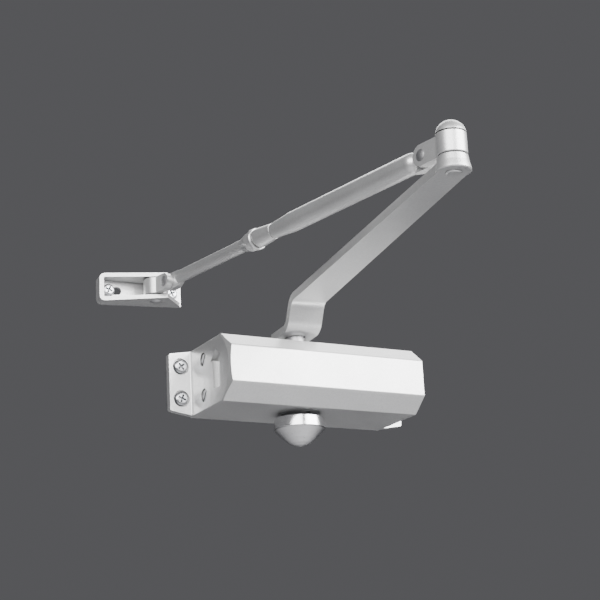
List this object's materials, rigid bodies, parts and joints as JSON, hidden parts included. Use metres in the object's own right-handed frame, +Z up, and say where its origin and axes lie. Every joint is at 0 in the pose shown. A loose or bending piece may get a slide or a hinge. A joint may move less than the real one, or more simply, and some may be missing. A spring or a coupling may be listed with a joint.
{
  "type": "door closer",
  "caption": "Surface-mounted door closer: rack-and-pinion hydraulic body, cranked main arm, elbow, adjustable forearm and frame shoe.",
  "frame": {"origin": "middle of the four door screws, on the back face of the body where it meets the door", "axes": "+X along the body, +Y out of the back face into the door, +Z up along the pinion towards the arm"},
  "size_m": [0.1804, 0.301, 0.1178],
  "materials": {
    "silver_paint": "satin silver paint",
    "cap_chrome": "bright plated cap",
    "machined_steel": "bare machined steel",
    "bearing_bronze": "sintered bronze",
    "polished_steel": "ground steel ball",
    "screw_steel": "zinc plated steel",
    "spring_steel": "oiled spring steel",
    "valve_steel": "turned zinc-plated steel",
    "seal_rubber": "black nitrile rubber",
    "washer_nylon": "black nylon"
  },
  "bodies": {
    "root": {"body_casting": "silver_paint", "end_plug": "machined_steel", "end_plug_o_ring": "seal_rubber", "upper_bearing": "bearing_bronze", "lower_bearing": "bearing_bronze", "upper_bearing_nut": "machined_steel", "lower_bearing_nut": "machined_steel", "upper_shaft_seal": "seal_rubber", "lower_shaft_seal": "seal_rubber", "return_spring": "spring_steel", "door_screws": "screw_steel"},
    "spindle": {"pinion": "machined_steel", "pinion_cap": "cap_chrome", "main_arm": "silver_paint", "arm_washer": "screw_steel", "arm_screw": "screw_steel", "elbow_pin": "silver_paint", "elbow_cap": "silver_paint", "elbow_lower_washer": "washer_nylon", "elbow_upper_washer": "washer_nylon"},
    "piston": {"piston": "machined_steel", "check_ball": "polished_steel", "check_ball_retainer": "machined_steel"},
    "closing_valve": {"closing_speed_valve": "valve_steel", "closing_valve_o_ring": "seal_rubber"},
    "latching_valve": {"latching_speed_valve": "valve_steel", "latching_valve_o_ring": "seal_rubber"},
    "elbow": {"elbow_knuckle": "silver_paint", "elbow_rivet": "machined_steel"},
    "tube": {"forearm_tube": "silver_paint"},
    "nut": {"lock_nut": "silver_paint"},
    "rod": {"forearm_rod": "silver_paint"},
    "knuckle": {"shoe_knuckle": "silver_paint", "shoe_rivet": "machined_steel"},
    "shoe": {"shoe_bracket": "silver_paint", "shoe_pin": "machined_steel", "shoe_pin_washers": "washer_nylon", "shoe_screws": "screw_steel"}
  },
  "joints": [
    {"name": "arm_swing", "type": "hinge", "parent": "root", "child": "spindle", "pos_m": [-0.0052, -0.025, 0], "axis": [0, 0, 1], "range_deg": [0, 170], "stiffness_Nm_per_rad": 1.5},
    {"name": "piston_slide", "type": "slide", "parent": "root", "child": "piston", "axis": [1, 0, 0], "range_m": [0, 0.02085], "deforming": ["return_spring"]},
    {"name": "closing_valve_turn", "type": "hinge", "parent": "root", "child": "closing_valve", "pos_m": [-0.0626, -0.02, 0.0102], "axis": [-1, 0, 0], "range_deg": [-360, 360]},
    {"name": "latching_valve_turn", "type": "hinge", "parent": "root", "child": "latching_valve", "pos_m": [-0.0626, -0.02, -0.0108], "axis": [-1, 0, 0], "range_deg": [-360, 360]},
    {"name": "elbow_swing", "type": "hinge", "parent": "spindle", "child": "elbow", "pos_m": [-0.02715, -0.23385, 0.06655], "axis": [0, 0, 1], "continuous": true},
    {"name": "elbow_tilt", "type": "hinge", "parent": "elbow", "child": "tube", "pos_m": [-0.03006, -0.21609, 0.06655], "axis": [-0.9869, -0.1616, 0], "range_deg": [-15, 8]},
    {"name": "lock_nut_spin", "type": "hinge", "parent": "tube", "child": "nut", "pos_m": [-0.05306, -0.07566, 0.06655], "axis": [-0.1616, 0.9869, 0], "continuous": true},
    {"name": "forearm_extension", "type": "slide", "parent": "tube", "child": "rod", "axis": [-0.1616, 0.9869, 0], "range_m": [-0.03, 0.03]},
    {"name": "shoe_tilt", "type": "hinge", "parent": "rod", "child": "knuckle", "pos_m": [-0.06779, 0.01435, 0.06655], "axis": [-0.9869, -0.1616, 0], "range_deg": [-15, 15]},
    {"name": "shoe_swing", "type": "hinge", "parent": "knuckle", "child": "shoe", "pos_m": [-0.07011, 0.02846, 0.06655], "axis": [0, 0, 1], "range_deg": [-45, 90]}
  ],
  "couplings": [
    {"joint": "piston_slide", "follows": "arm_swing", "m_per_rad": 0.007}
  ]
}
